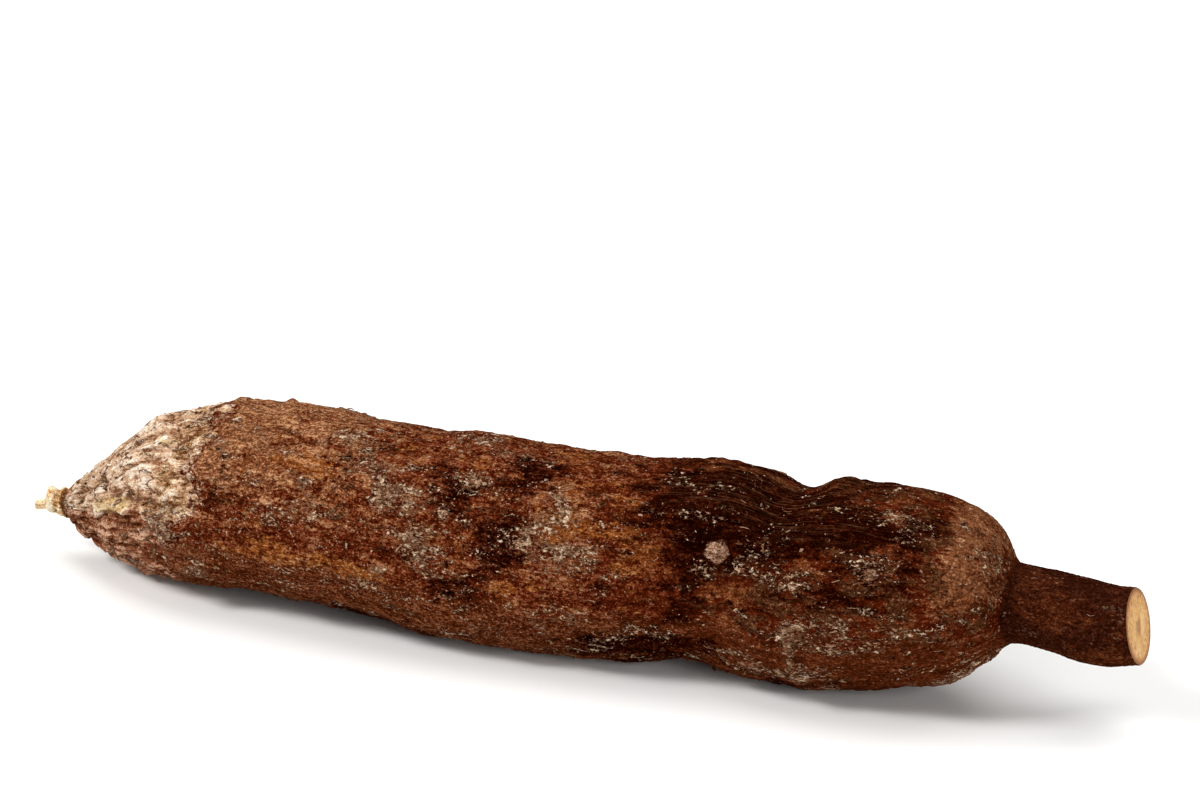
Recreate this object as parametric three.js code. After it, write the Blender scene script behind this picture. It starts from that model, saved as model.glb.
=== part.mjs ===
// A cassava root, as dug, trimmed and sold: one storage root with its bark, a cut stem end and a dried tail.
// It grew as one piece, so it is one solid. Its skin is a tube of rings set along the root, whose shape
// is the sum of a few plain forms: a smooth body, an oblique waist, ridges on the tail cone, and lumps.
//
// Millimetres. +Z is up. The root lies on z = 0 along X: its tail is at -X and its cut stem end at +X.
// The places below count from a point in its thick part. The finished root is then centred on the origin,
// which is on the surface under the middle of its bounding box.

import * as THREE from "three";
import { mergeVertices } from "three/addons/utils/BufferGeometryUtils.js";

// Bark
const BARK_COLOUR = 0x6b3f28;
const BARK_ROUGHNESS = 0.75;

// Places along the root
const TAIL_END = -190.5;
const TAIL_KNOT = -183;
const CONE_START = -179.2;
const CONE_END = -118;
const WAIST = 46;
const LIP = 119.5;
const CUT = 157.6;

// Fineness of the skin
const SIDES = 46;

// The smooth body. Each station is a place along the root, how far its axis lies to the side and above
// the surface, and half its width and half its height there. The body is drawn smoothly through them.
const STATIONS = [
  // along, side, height, half width, half height
  [TAIL_END, 9.6, 15.0, 1.5, 1.5], // end of the dried tail
  [-187.3, 9.6, 15.6, 1.5, 1.6],
  [-185.6, 9.6, 16.6, 3.0, 3.4],
  [TAIL_KNOT, 9.6, 17.0, 4.2, 4.8], // the tail's knot
  [-180.8, 9.5, 17.0, 4.0, 4.7],
  [CONE_START, 9.5, 16.8, 3.8, 4.2],
  [-177, 9.4, 17.6, 5.4, 5.6],
  [-174, 9.2, 18.2, 8.0, 7.8],
  [-168, 8.8, 19.5, 11.6, 11.4],
  [-158, 8.1, 22.3, 17.6, 17.2],
  [-148, 7.2, 25.1, 22.6, 22.2],
  [-138, 6.0, 27.3, 25.4, 25.2],
  [-126, 4.6, 28.6, 27.4, 27.2], // end of the tail cone
  [-112, 3.2, 31.2, 28.6, 28.3],
  [-94, 1.6, 31.6, 29.2, 28.9],
  [-75, 0.2, 31.1, 29.6, 28.6],
  [-55, -0.9, 29.6, 30.0, 29.4],
  [-32, -1.8, 29.5, 30.2, 30.3], // the thickest part, which rests on the surface
  [-8, -1.8, 29.4, 29.6, 29.6],
  [16, -1.0, 30.2, 29.0, 29.4],
  [38, -0.2, 31.1, 29.0, 29.8],
  [58, -0.2, 29.8, 29.6, 30.4], // the second lobe, which rests on the surface too
  [78, -0.6, 30.9, 29.2, 29.6],
  [94, -1.1, 32.3, 27.6, 27.8],
  [105, -1.5, 33.1, 25.0, 25.6],
  [112, -1.7, 33.9, 21.8, 22.7],
  [116.5, -1.9, 33.9, 17.8, 18.2],
  [LIP, -2.0, 32.7, 13.0, 12.8], // where the lobe ends over the neck
  [124.5, -2.2, 32.8, 11.0, 11.4],
  [134, -2.6, 32.2, 10.8, 11.3],
  [144, -3.0, 30.8, 11.2, 11.7],
  [152, -3.4, 30.5, 11.0, 11.2],
  [CUT, -3.7, 31.6, 10.4, 10.6], // the cut stem end
];

// Lumps and dents on the bark. Each is a place along the root, an angle round it in degrees (0 faces -Y,
// 90 is the top, 180 faces +Y), its half length, its half width and how far it stands out.
const LUMPS = [
  [43.5, 30, 3.2, 3.2, 1.8], // round scar of a lost side root
  [47, 28, 2.2, 4.5, -1.0], // and the crease beside it
  [88, 24, 8, 6, 1.0],
  [103, 60, 6, 5, -1.3],
  [113, 48, 7, 6, 1.4],
  [66, -10, 3, 26, 0.6],
  [-100, 98, 2.6, 2.6, 2.2], // small nodule on the crest
  [-91, 75, 5, 5, -1.3], // and the pit beside it
  [-118, 62, 7, 9, 1.3], // folds where the tail cone meets the body
  [-122, 88, 8, 7, 1.3],
  [-112, 28, 10, 8, 1.2],
  [-126, 40, 7, 6, -1.3],
  [-128, -12, 6, 7, 1.3],
  [-38, 92, 8, 6, 2.4], // fibrous crest along the top
  [-69, 86, 8, 5, 0.9],
  [-58, 35, 14, 12, 0.9],
  [-20, 12, 12, 14, -1.0],
  [-6, 44, 14, 12, 0.9],
  [-72, -32, 20, 10, -0.7],
  [-36, -44, 20, 9, 0.8],
  [8, -58, 14, 9, 1.1],
  [30, -50, 9, 8, -0.4],
  [-90, 160, 16, 12, 1.4], // the far side
  [-52, 205, 20, 12, -1.2],
  [-20, 150, 14, 12, 1.0],
  [14, 190, 12, 14, -0.9],
  [-4, 212, 3.4, 3.4, 1.7],
  [74, 165, 14, 14, 1.2],
  [88, 215, 12, 9, -1.0],
  [-140, 190, 10, 8, 1.2],
];

// The tail cone's long ridges
const RIDGE_COUNT = 9;
const RIDGE_HEIGHT = 0.7;
const RIDGE_TWIST = 0.011; // radians for each millimetre along the root
const RIDGE_RISE = [CONE_START, CONE_START + 20]; // where they begin and reach their full height
const RIDGE_FALL = [CONE_END - 16, CONE_END + 6]; // and where they fade into the body

// The waist, a groove that runs obliquely round the root
const WAIST_SLANT = 15; // how far the groove's top lies towards the stem, and its bottom towards the tail
const WAIST_DEPTH = 2.6;
const WAIST_DEEPER = 1.5; // it is deeper than that on top, and shallower below
const WAIST_TAIL_SIDE = 13; // the width of its gentle side
const WAIST_STEM_SIDE = 11; // and of its steep side, where the second lobe begins
const WAIST_NARROWER = 0.4; // the share by which both are narrower on top, and wider below

// Broad swells all over the bark. They fade out where the root is thin.
const SWELLS = [
  // height, length from one to the next along the root, count round it, phase in radians
  [0.25, 31, 3, 0.4],
  [0.2, 23, -5, 1.9],
  [0.15, 17, 4, 4.0],
];
const SWELL_FADE = [12, 24]; // the radius where they begin, and where they have their full height

// The dried tail
const KNOT_LEAN = 0.3; // how far its top leans towards the tail end, for each millimetre up
const KNOT_REACH = 4.5;
const KNOT_LOBES = 2;
const KNOT_LOBE_HEIGHT = 0.9;
const KNOT_LOBE_REACH = 2.2;
const KNOT_TWIST = 0.45; // radians for each millimetre along the root

// The stem end
const LIP_OVERHANG = 1.8;
const LIP_WIDTH = 3.2;
const CUT_LEAN = Math.tan(THREE.MathUtils.degToRad(12)); // the cut's top leans towards the tail
const CUT_TURN = Math.tan(THREE.MathUtils.degToRad(5)); // and the cut is turned a little to -Y
const CUT_REACH = 8; // the skin follows the cut's slant from this far back

// Rings: spans of the skin, each with the number of rings that its shape needs.
const SPANS = [
  // from, to, rings
  [TAIL_END, -187.5, 3],
  [-187.5, CONE_START, 10],
  [CONE_START, -164, 9],
  [-164, CONE_END, 14],
  [CONE_END, 24, 37],
  [24, 72, 15],
  [72, 110, 10],
  [110, 128, 9],
  [128, CUT, 8],
];
// The ends are closed by rings that shrink to the axis. Each is a share of the rim's size, and how far
// it stands past the rim.
const TAIL_FACE = [[0.55, 0.3]];
const CUT_FACE = [
  [0.95, 0.5],
  [0.6, 0.5],
];

const smoothBody = new THREE.CubicInterpolant(
  STATIONS.map((station) => station[0]),
  STATIONS.flatMap((station) => station.slice(1)),
  STATIONS[0].length - 1,
);

// A bell that is 1 at 0 and fades out over about twice its width.
function bell(distance, width) {
  return Math.exp(-((distance / width) ** 2));
}

// The smaller way round from one angle to another, in radians.
function angleBetween(a, b) {
  return Math.atan2(Math.sin(a - b), Math.cos(a - b));
}

function waist(along, angle) {
  const up = Math.sin(angle);
  const past = along - WAIST - WAIST_SLANT * up;
  const width = (past < 0 ? WAIST_TAIL_SIDE : WAIST_STEM_SIDE) * (1 - WAIST_NARROWER * up);
  return -(WAIST_DEPTH + WAIST_DEEPER * up) * bell(past, width);
}

function coneRidges(along, angle) {
  const rise = THREE.MathUtils.smoothstep(along, ...RIDGE_RISE);
  const fall = 1 - THREE.MathUtils.smoothstep(along, ...RIDGE_FALL);
  const turn = RIDGE_COUNT * (angle + RIDGE_TWIST * along);
  return RIDGE_HEIGHT * rise * fall * Math.cos(turn + Math.sin(2 * angle));
}

function swells(along, angle, radius) {
  let height = 0;
  for (const [stand, length, count, phase] of SWELLS) {
    height += stand * Math.cos((2 * Math.PI * along) / length + count * angle + phase);
  }
  return height * THREE.MathUtils.smoothstep(radius, ...SWELL_FADE);
}

function knotLobes(along, angle) {
  const turn = KNOT_LOBES * (angle + KNOT_TWIST * along);
  return KNOT_LOBE_HEIGHT * bell(along - TAIL_KNOT, KNOT_LOBE_REACH) * Math.cos(turn);
}

function lumps(along, angle, radius) {
  let height = 0;
  for (const [place, degrees, halfLength, halfWidth, stand] of LUMPS) {
    const aside = radius * angleBetween(angle, THREE.MathUtils.degToRad(degrees));
    height += stand * bell(along - place, halfLength) * bell(aside, halfWidth);
  }
  return height;
}

// How far the skin is pushed along the root: the leaning knot, the lip over the neck and the slanted cut.
function shift(along, across, above) {
  const knot = -KNOT_LEAN * above * bell(along - TAIL_KNOT, KNOT_REACH);
  const lip = LIP_OVERHANG * bell(along - LIP, LIP_WIDTH);
  const slant = CUT_TURN * across - CUT_LEAN * above;
  return knot + lip + slant * THREE.MathUtils.smoothstep(along, CUT - CUT_REACH, CUT);
}

// The skin at a place along the root and an angle round it. An inner share shrinks it to the axis.
function skinPoint(along, angle, share, past) {
  const [side, height, halfWidth, halfHeight] = smoothBody.evaluate(along);
  const radius = Math.hypot(halfWidth * Math.cos(angle), halfHeight * Math.sin(angle));
  const relief =
    waist(along, angle) +
    coneRidges(along, angle) +
    swells(along, angle, radius) +
    knotLobes(along, angle) +
    lumps(along, angle, radius);
  const reach = share * (1 + relief / radius);
  const across = -halfWidth * reach * Math.cos(angle);
  const above = halfHeight * reach * Math.sin(angle);
  const x = along + past + shift(along, across, above);
  return new THREE.Vector3(x, side + across, Math.max(height + above, 0));
}

// Every ring from the tail to the cut: its place along the root, its share and how far it stands past it.
function ringList() {
  const rings = [...TAIL_FACE].reverse().map(([share, past]) => [TAIL_END, share, -past]);
  rings.push([TAIL_END, 1, 0]);
  for (const [from, to, count] of SPANS) {
    for (let i = 1; i <= count; i++) {
      rings.push([THREE.MathUtils.lerp(from, to, i / count), 1, 0]);
    }
  }
  return rings.concat(CUT_FACE.map(([share, past]) => [CUT, share, past]));
}

// A unit cylinder has its rings spaced evenly along its own Y, and the middle of each end on its axis.
// Each of its vertices moves to the skin.
function rootGeometry() {
  const rings = ringList();
  const last = rings.length - 1;
  const rim = 1;
  const long = 1;
  const tube = new THREE.CylinderGeometry(rim, rim, long, SIDES, last);
  tube.deleteAttribute("normal");
  tube.deleteAttribute("uv");
  const geometry = mergeVertices(tube);
  const position = geometry.attributes.position;
  for (let i = 0; i < position.count; i++) {
    const ring = Math.round((position.getY(i) / long + 1 / 2) * last);
    const [along, share, past] = rings[ring];
    const angle = Math.atan2(position.getX(i), -position.getZ(i));
    const onAxis = Math.hypot(position.getX(i), position.getZ(i)) < rim / 2;
    const point = skinPoint(along, angle, onAxis ? 0 : share, past);
    position.setXYZ(i, point.x, point.y, point.z);
  }
  geometry.computeBoundingBox();
  const middle = geometry.boundingBox.getCenter(new THREE.Vector3());
  return geometry.translate(-middle.x, -middle.y, 0);
}

const bark = new THREE.MeshStandardMaterial({
  color: BARK_COLOUR,
  roughness: BARK_ROUGHNESS,
  metalness: 0,
});
const cassavaRoot = new THREE.Mesh(rootGeometry(), bark);
cassavaRoot.name = "cassava_root";

const group = new THREE.Group();
group.add(cassavaRoot);
export default group;
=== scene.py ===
# %% [markdown]
# # A cassava root
#
# A cassava root is a storage root. It is dug up, trimmed off its stem and sold with its bark on. This one
# has a long thick body, an oblique waist with a second lobe behind it, a neck with a cut stem end, and a
# pointed tail that has dried to a twist of fibre. It grew as one piece, so it is one skin here too.
#
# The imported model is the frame. It holds the root's main forms at their real size, and everything below
# is a finer skin over the same forms, with the bark's own relief, colours and loose flakes of cork.

# %% Load the frame
import bpy
import numpy as np
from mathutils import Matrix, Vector


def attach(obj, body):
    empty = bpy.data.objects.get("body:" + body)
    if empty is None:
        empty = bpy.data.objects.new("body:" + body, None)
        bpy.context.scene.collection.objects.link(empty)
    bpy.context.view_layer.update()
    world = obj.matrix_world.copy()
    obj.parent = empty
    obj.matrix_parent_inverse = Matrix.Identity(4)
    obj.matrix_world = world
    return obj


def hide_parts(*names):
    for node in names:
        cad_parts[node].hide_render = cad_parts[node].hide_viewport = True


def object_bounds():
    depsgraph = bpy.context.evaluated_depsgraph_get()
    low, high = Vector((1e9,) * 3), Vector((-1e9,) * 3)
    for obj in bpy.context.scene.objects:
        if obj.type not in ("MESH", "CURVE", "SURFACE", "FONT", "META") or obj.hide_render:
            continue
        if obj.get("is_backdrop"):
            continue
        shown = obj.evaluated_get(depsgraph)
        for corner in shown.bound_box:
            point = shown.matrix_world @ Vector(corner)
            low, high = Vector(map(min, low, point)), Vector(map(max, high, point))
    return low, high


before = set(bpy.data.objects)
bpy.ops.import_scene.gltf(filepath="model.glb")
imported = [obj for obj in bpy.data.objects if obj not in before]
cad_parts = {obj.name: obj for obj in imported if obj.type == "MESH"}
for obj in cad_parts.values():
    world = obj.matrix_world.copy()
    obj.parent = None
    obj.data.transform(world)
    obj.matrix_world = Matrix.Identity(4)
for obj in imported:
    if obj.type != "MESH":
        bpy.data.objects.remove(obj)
cad_low, cad_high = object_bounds()
MM = 0.001
rng = np.random.default_rng(7)
print("CAD box in mm:", [round(v / MM, 1) for v in cad_low], [round(v / MM, 1) for v in cad_high])

# %% [markdown]
# ## The main forms
#
# The root is a tube of rings set along a line. It could be sculpted by hand, but a formula gives the same
# shape at any fineness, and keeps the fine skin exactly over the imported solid. Each station gives how far
# the root's axis lies to the side and above the surface, and half its width and height. A smooth curve
# runs through them. Then come the waist, the tail's ridges, broad swells and a list of lumps and dents.

# %% Places and stations, in millimetres
TAIL_END = -190.5
TAIL_KNOT = -183
CONE_START = -179.2
CONE_END = -118
WAIST = 46
LIP = 119.5
CUT = 157.6

STATIONS = np.array([
    # along, side, height, half width, half height
    [TAIL_END, 9.6, 15.0, 1.5, 1.5],  # end of the dried tail
    [-187.3, 9.6, 15.6, 1.5, 1.6],
    [-185.6, 9.6, 16.6, 3.0, 3.4],
    [TAIL_KNOT, 9.6, 17.0, 4.2, 4.8],  # the tail's knot
    [-180.8, 9.5, 17.0, 4.0, 4.7],
    [CONE_START, 9.5, 16.8, 3.8, 4.2],
    [-177, 9.4, 17.6, 5.4, 5.6],
    [-174, 9.2, 18.2, 8.0, 7.8],
    [-168, 8.8, 19.5, 11.6, 11.4],
    [-158, 8.1, 22.3, 17.6, 17.2],
    [-148, 7.2, 25.1, 22.6, 22.2],
    [-138, 6.0, 27.3, 25.4, 25.2],
    [-126, 4.6, 28.6, 27.4, 27.2],  # end of the tail cone
    [-112, 3.2, 31.2, 28.6, 28.3],
    [-94, 1.6, 31.6, 29.2, 28.9],
    [-75, 0.2, 31.1, 29.6, 28.6],
    [-55, -0.9, 29.6, 30.0, 29.4],
    [-32, -1.8, 29.5, 30.2, 30.3],  # the thickest part, which rests on the surface
    [-8, -1.8, 29.4, 29.6, 29.6],
    [16, -1.0, 30.2, 29.0, 29.4],
    [38, -0.2, 31.1, 29.0, 29.8],
    [58, -0.2, 29.8, 29.6, 30.4],  # the second lobe, which rests on the surface too
    [78, -0.6, 30.9, 29.2, 29.6],
    [94, -1.1, 32.3, 27.6, 27.8],
    [105, -1.5, 33.1, 25.0, 25.6],
    [112, -1.7, 33.9, 21.8, 22.7],
    [116.5, -1.9, 33.9, 17.8, 18.2],
    [LIP, -2.0, 32.7, 13.0, 12.8],  # where the lobe ends over the neck
    [124.5, -2.2, 32.8, 11.0, 11.4],
    [134, -2.6, 32.2, 10.8, 11.3],
    [144, -3.0, 30.8, 11.2, 11.7],
    [152, -3.4, 30.5, 11.0, 11.2],
    [CUT, -3.7, 31.6, 10.4, 10.6],  # the cut stem end
])

# Each lump is a place along the root, an angle round it in degrees (0 faces -Y, 90 is the top), its half
# length, its half width and how far it stands out.
LUMPS = np.array([
    [43.5, 30, 3.2, 3.2, 1.8],  # round scar of a lost side root
    [47, 28, 2.2, 4.5, -1.0],  # and the crease beside it
    [88, 24, 8, 6, 1.0],
    [103, 60, 6, 5, -1.3],
    [113, 48, 7, 6, 1.4],
    [66, -10, 3, 26, 0.6],
    [-100, 98, 2.6, 2.6, 2.2],  # small nodule on the crest
    [-91, 75, 5, 5, -1.3],  # and the pit beside it
    [-118, 62, 7, 9, 1.3],  # folds where the tail cone meets the body
    [-122, 88, 8, 7, 1.3],
    [-112, 28, 10, 8, 1.2],
    [-126, 40, 7, 6, -1.3],
    [-128, -12, 6, 7, 1.3],
    [-38, 92, 8, 6, 2.4],  # fibrous crest along the top
    [-69, 86, 8, 5, 0.9],
    [-58, 35, 14, 12, 0.9],
    [-20, 12, 12, 14, -1.0],
    [-6, 44, 14, 12, 0.9],
    [-72, -32, 20, 10, -0.7],
    [-36, -44, 20, 9, 0.8],
    [8, -58, 14, 9, 1.1],
    [30, -50, 9, 8, -0.4],
    [-90, 160, 16, 12, 1.4],  # the far side
    [-52, 205, 20, 12, -1.2],
    [-20, 150, 14, 12, 1.0],
    [14, 190, 12, 14, -0.9],
    [-4, 212, 3.4, 3.4, 1.7],
    [74, 165, 14, 14, 1.2],
    [88, 215, 12, 9, -1.0],
    [-140, 190, 10, 8, 1.2],
])

# Broad swells: height, length from one to the next along the root, count round it, phase in radians.
SWELLS = [(0.25, 31, 3, 0.4), (0.2, 23, -5, 1.9), (0.15, 17, 4, 4.0)]
SWELL_FADE = (12, 24)  # the radius where they begin, and where they have their full height
print("stations:", len(STATIONS), "lumps and dents:", len(LUMPS), "swells:", len(SWELLS))

# %% The ridges, the waist, the knot, the lip and the cut, in millimetres
RIDGE_COUNT = 9
RIDGE_HEIGHT = 0.7
RIDGE_TWIST = 0.011  # radians for each millimetre along the root
RIDGE_RISE = (CONE_START, CONE_START + 20)  # where they begin and reach their full height
RIDGE_FALL = (CONE_END - 16, CONE_END + 6)  # and where they fade into the body
WAIST_SLANT = 15  # how far the groove's top lies towards the stem, and its bottom towards the tail
WAIST_DEPTH = 2.6
WAIST_DEEPER = 1.5  # it is deeper than that on top, and shallower below
WAIST_TAIL_SIDE = 13  # the width of its gentle side
WAIST_STEM_SIDE = 11  # and of its steep side, where the second lobe begins
WAIST_NARROWER = 0.4  # the share by which both are narrower on top, and wider below
KNOT_LEAN = 0.3  # how far its top leans towards the tail end, for each millimetre up
KNOT_REACH = 4.5
KNOT_LOBES = 2
KNOT_LOBE_HEIGHT = 0.9
KNOT_LOBE_REACH = 2.2
KNOT_TWIST = 0.45  # radians for each millimetre along the root
LIP_OVERHANG = 1.8
LIP_WIDTH = 3.2
CUT_LEAN = np.tan(np.radians(12))  # the cut's top leans towards the tail
CUT_TURN = np.tan(np.radians(5))  # and the cut is turned a little to -Y
CUT_REACH = 8  # the skin follows the cut's slant from this far back


# %% The formulas of the main forms
def smoothstep(value, low, high):
    """0 below low and 1 above high, with a smooth climb between them."""
    part = np.clip((value - low) / (high - low), 0, 1)
    return part * part * (3 - 2 * part)


def bell(distance, width):
    """1 at 0, fading out over about twice the width."""
    return np.exp(-((distance / width) ** 2))


def smooth_body(along):
    """A cubic curve through the stations. Its slope at a station is the mean of the slopes to the two
    neighbours, and it is level at both ends."""
    places, values = STATIONS[:, 0], STATIONS[:, 1:]
    secant = np.diff(values, axis=0) / np.diff(places)[:, None]
    slope = np.zeros_like(values)
    slope[1:-1] = (secant[1:] + secant[:-1]) / 2
    i = np.clip(np.searchsorted(places, along) - 1, 0, len(places) - 2)
    step = places[i + 1] - places[i]
    t = ((along - places[i]) / step)[..., None]
    step = step[..., None]
    start = (1 + 2 * t) * (1 - t) ** 2 * values[i] + t * (1 - t) ** 2 * step * slope[i]
    end = t * t * (3 - 2 * t) * values[i + 1] + t * t * (t - 1) * step * slope[i + 1]
    return np.moveaxis(start + end, -1, 0)


def spots(rows, along, angle, radius):
    """The sum of soft round spots, each a bell along the root times a bell round it, times its height."""
    total = np.zeros_like(radius)
    for place, degrees, half_length, half_width, height in rows:
        turn = angle - np.radians(degrees)
        aside = radius * np.arctan2(np.sin(turn), np.cos(turn))
        total += height * bell(along - place, half_length) * bell(aside, half_width)
    return total


def main_relief(along, angle, radius):
    """How far the waist, the tail's ridges, the swells, the knot and the lumps stand out, in mm."""
    up = np.sin(angle)
    past = along - WAIST - WAIST_SLANT * up
    width = np.where(past < 0, WAIST_TAIL_SIDE, WAIST_STEM_SIDE) * (1 - WAIST_NARROWER * up)
    waist = -(WAIST_DEPTH + WAIST_DEEPER * up) * bell(past, width)
    ridges = RIDGE_HEIGHT * smoothstep(along, *RIDGE_RISE) * (1 - smoothstep(along, *RIDGE_FALL))
    ridges *= np.cos(RIDGE_COUNT * (angle + RIDGE_TWIST * along) + np.sin(2 * angle))
    swells = np.zeros_like(radius)
    for height, length, count, phase in SWELLS:
        swells += height * np.cos(2 * np.pi * along / length + count * angle + phase)
    swells *= smoothstep(radius, *SWELL_FADE)
    knot = KNOT_LOBE_HEIGHT * bell(along - TAIL_KNOT, KNOT_LOBE_REACH)
    knot *= np.cos(KNOT_LOBES * (angle + KNOT_TWIST * along))
    return waist + ridges + swells + knot + spots(LUMPS, along, angle, radius)


def shift(along, across, above):
    """How far the skin is pushed along the root: the leaning knot, the lip and the slanted cut."""
    knot = -KNOT_LEAN * above * bell(along - TAIL_KNOT, KNOT_REACH)
    lip = LIP_OVERHANG * bell(along - LIP, LIP_WIDTH)
    slant = CUT_TURN * across - CUT_LEAN * above
    return knot + lip + slant * smoothstep(along, CUT - CUT_REACH, CUT)


def skin_points(along, angle, share, past, fine):
    """The skin at each place along the root and angle round it. share shrinks it to the axis, past
    pushes it beyond the end, and fine is the extra relief in mm."""
    side, height, half_width, half_height = smooth_body(along)
    radius = np.hypot(half_width * np.cos(angle), half_height * np.sin(angle))
    reach = share * (1 + (main_relief(along, angle, radius) + fine) / radius)
    across = -half_width * reach * np.cos(angle)
    above = half_height * reach * np.sin(angle)
    x = along + past + shift(along, across, above)
    return np.stack([x, side + across, np.maximum(height + above, 0)], axis=-1)


# %% [markdown]
# ## The grid of the fine skin
#
# The skin is a grid: rows along the root and sides round it. The bark's finest relief is about 2 mm
# across, so a row every 0.85 mm is enough on the body. The tail, the lip and the neck have finer forms,
# so their rows lie closer. All of it stays under 200,000 triangles.

# %% Rows, sides and the two ends
SIDES = 208
SPANS = [
    # from, to, rows
    (TAIL_END, -187.5, 8),
    (-187.5, CONE_START, 26),
    (CONE_START, -164, 24),
    (-164, CONE_END, 62),
    (CONE_END, 112, 262),
    (112, 128, 30),
    (128, CUT, 38),
]
BARK_SHARE = 0.94  # inside this share of the cut's size the bark ends and the wood begins
CUT_FACE = [
    # share of the full size, how far past the cut
    (0.985, 0.35), (BARK_SHARE, 0.5), (0.9, 0.42), (0.8, 0.5),
    (0.66, 0.46), (0.5, 0.5), (0.34, 0.46), (0.16, 0.5),
]
TAIL_FACE = [(0.4, 0.35), (0.75, 0.25)]


def row_list():
    """Every row from the tail to the cut: its place, its share of the full size and how far past it is."""
    rows = [(TAIL_END, share, -past) for share, past in TAIL_FACE]
    rows.append((TAIL_END, 1, 0))
    for start, end, count in SPANS:
        rows += [(place, 1, 0) for place in np.linspace(start, end, count + 1)[1:]]
    rows += [(CUT, share, past) for share, past in CUT_FACE]
    return np.array(rows)


rows = row_list()
along, share, past = (column[:, None] * np.ones(SIDES) for column in rows.T)
angle = np.ones((len(rows), 1)) * np.linspace(-np.pi, np.pi, SIDES, endpoint=False)
side, height, half_width, half_height = smooth_body(along)
radius = np.hypot(half_width * np.cos(angle), half_height * np.sin(angle))
# Place on the plain tube, which the relief and the patterns are worked out from
tube = np.stack([along, half_width * np.cos(angle), half_height * np.sin(angle)], axis=-1)
# The same place on a tube of one width, where lengthwise lines draw together as the real root narrows
EVEN = 28
even_tube = np.stack([along, EVEN * np.cos(angle), EVEN * np.sin(angle)], axis=-1)
print("rows:", len(rows), "sides:", SIDES, "triangles:", 2 * len(rows) * SIDES)

# %% [markdown]
# ## Patches of the bark
#
# The bark isn't the same all over. The tail cone is pale and furrowed. Some patches are nearly black,
# some are worn to a smooth orange-brown, and some carry crusts of loose pale cork. They could be painted
# by hand, but a list is easier to change. Each patch is a soft round spot at a given place on the side
# that is seen first. The far side gets spots of the same kinds at random places, because no two roots
# share them.

# %% Lists of patches
DARK = [
    # along, degrees, half length, half width, strength
    (-107, 36, 8, 8, 0.5), (-113, 17, 8, 4, 0.5), (-71, 48, 7, 12, 0.5), (-60, 72, 9, 4, 0.6),
    (-37, 47, 9, 12, 1.0), (-20, 17, 9, 12, 1.2), (-14, 68, 9, 8, 1.1), (-34, -10, 9, 5, 0.9),
    # The broad spots at 34 and 62 along, over the top of the waist, are partly dark bark and partly painted
    # shadow.
    (-70, 18, 6, 7, 0.5), (-53, 3, 7, 5, 0.5), (34, 62, 22, 20, 1.2), (62, 64, 22, 16, 1.3),
    (86, 52, 14, 9, 1.0), (36, 8, 8, 26, 0.65), (27, -36, 14, 8, 0.8), (78, 12, 13, 7, 0.6),
    (102, 63, 6, 5, 0.9), (12, -5, 6, 8, 0.6), (-96, -2, 6, 4, 0.5), (54, 46, 10, 10, 0.8),
    (124, 20, 4, 60, 0.6), (96, 5, 6, 14, 0.35), (60, 14, 5, 5, 0.5), (98, 40, 5, 8, 0.4),
]
ORANGE = [
    (-92, -17, 22, 9, 1.0), (-66, -12, 9, 7, 1.0), (-84, 52, 9, 4, 0.9), (-102, 72, 14, 10, 0.6),
    (-2, 42, 9, 16, 0.8), (-55, 70, 9, 4, 0.7), (14, 36, 7, 6, 0.7), (47, -14, 5, 14, 0.5),
    (64, -26, 18, 6, 0.3), (110, 30, 6, 9, 0.5), (-36, -26, 16, 6, 0.5), (46, 12, 7, 6, 0.5),
    (20, 22, 8, 8, 0.5), (108, 84, 12, 10, 0.7), (92, -24, 12, 7, 0.3), (66, 34, 10, 4, 0.3),
]
CREAM = [
    (-152, 12, 9, 2.8, 1.4), (-134, 58, 5, 1.4, 1.1), (-160, 40, 5, 1.2, 0.9), (-142, 150, 7, 2.4, 1.1),
    (-150, 240, 6, 2, 1.1),
]
CRUST = [
    (-131, -1, 4, 4.5, 2.4), (-121, -33, 3, 3.5, 2.2), (-93, 12, 2.4, 2.2, 1.2), (-98, 17, 3, 2, 0.8),
    (-46, 17, 7, 4, 1.5), (-57, 42, 4, 6, 1.5), (-50, 39, 5, 4, 1.4), (-38, 35, 2, 2.4, 1.8),
    (-33, 54, 6, 3, 1.6), (-35, 88, 8, 4, 1.0), (-57, -4, 2.4, 2.4, 1.1), (-60, -14, 4, 2.5, 0.9),
    (-56, -27, 2.4, 2.4, 1.0), (-4, 43, 6, 8, 1.0), (-12, 33, 4, 3, 0.8), (-4, 20, 8, 6, 0.9),
    (1, -18, 8, 3, 0.8), (-9, -25, 3, 3, 0.9), (4, 25, 6, 4, 0.8), (15, 12, 4, 2, 0.8),
    (40, 19, 3, 2.4, 1.0), (54, 25, 7, 3.5, 1.0), (64, 20, 5, 3, 0.9), (88, 28, 4.5, 5, 1.1),
    (67, -8, 6, 4, 1.1), (84, -15, 10, 3, 1.0), (70, -38, 10, 4, 1.0), (92, 66, 9, 4, 0.7),
    (82, -2, 8, 3, 0.7), (-42, 4, 6, 4, 0.7), (-64, 56, 7, 4, 0.8), (-24, 78, 9, 3, 0.8),
    (-82, 22, 6, 5, 0.5), (110, 48, 4, 6, 0.3), (-74, 70, 8, 5, 0.6), (52, -36, 8, 5, 0.7),
    (16, -24, 7, 3, 0.7), (66, -20, 0.9, 8, 2.2), (-28, -30, 8, 4, 0.5), (106, -10, 7, 3, 0.4),
    (118, 60, 2, 8, 0.3),
]
SCARS = [(43.5, 30, 3.4, 3.4, 1.2), (88, 28, 3.2, 3.0, 0.6)]  # where side roots were lost
SCAR_CREASE = [(47.6, 22, 1.3, 3, 1)]
RUSTY_TIP = [(-175, 80, 5, 4, 1.3)]  # beside the tail's knot


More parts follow.
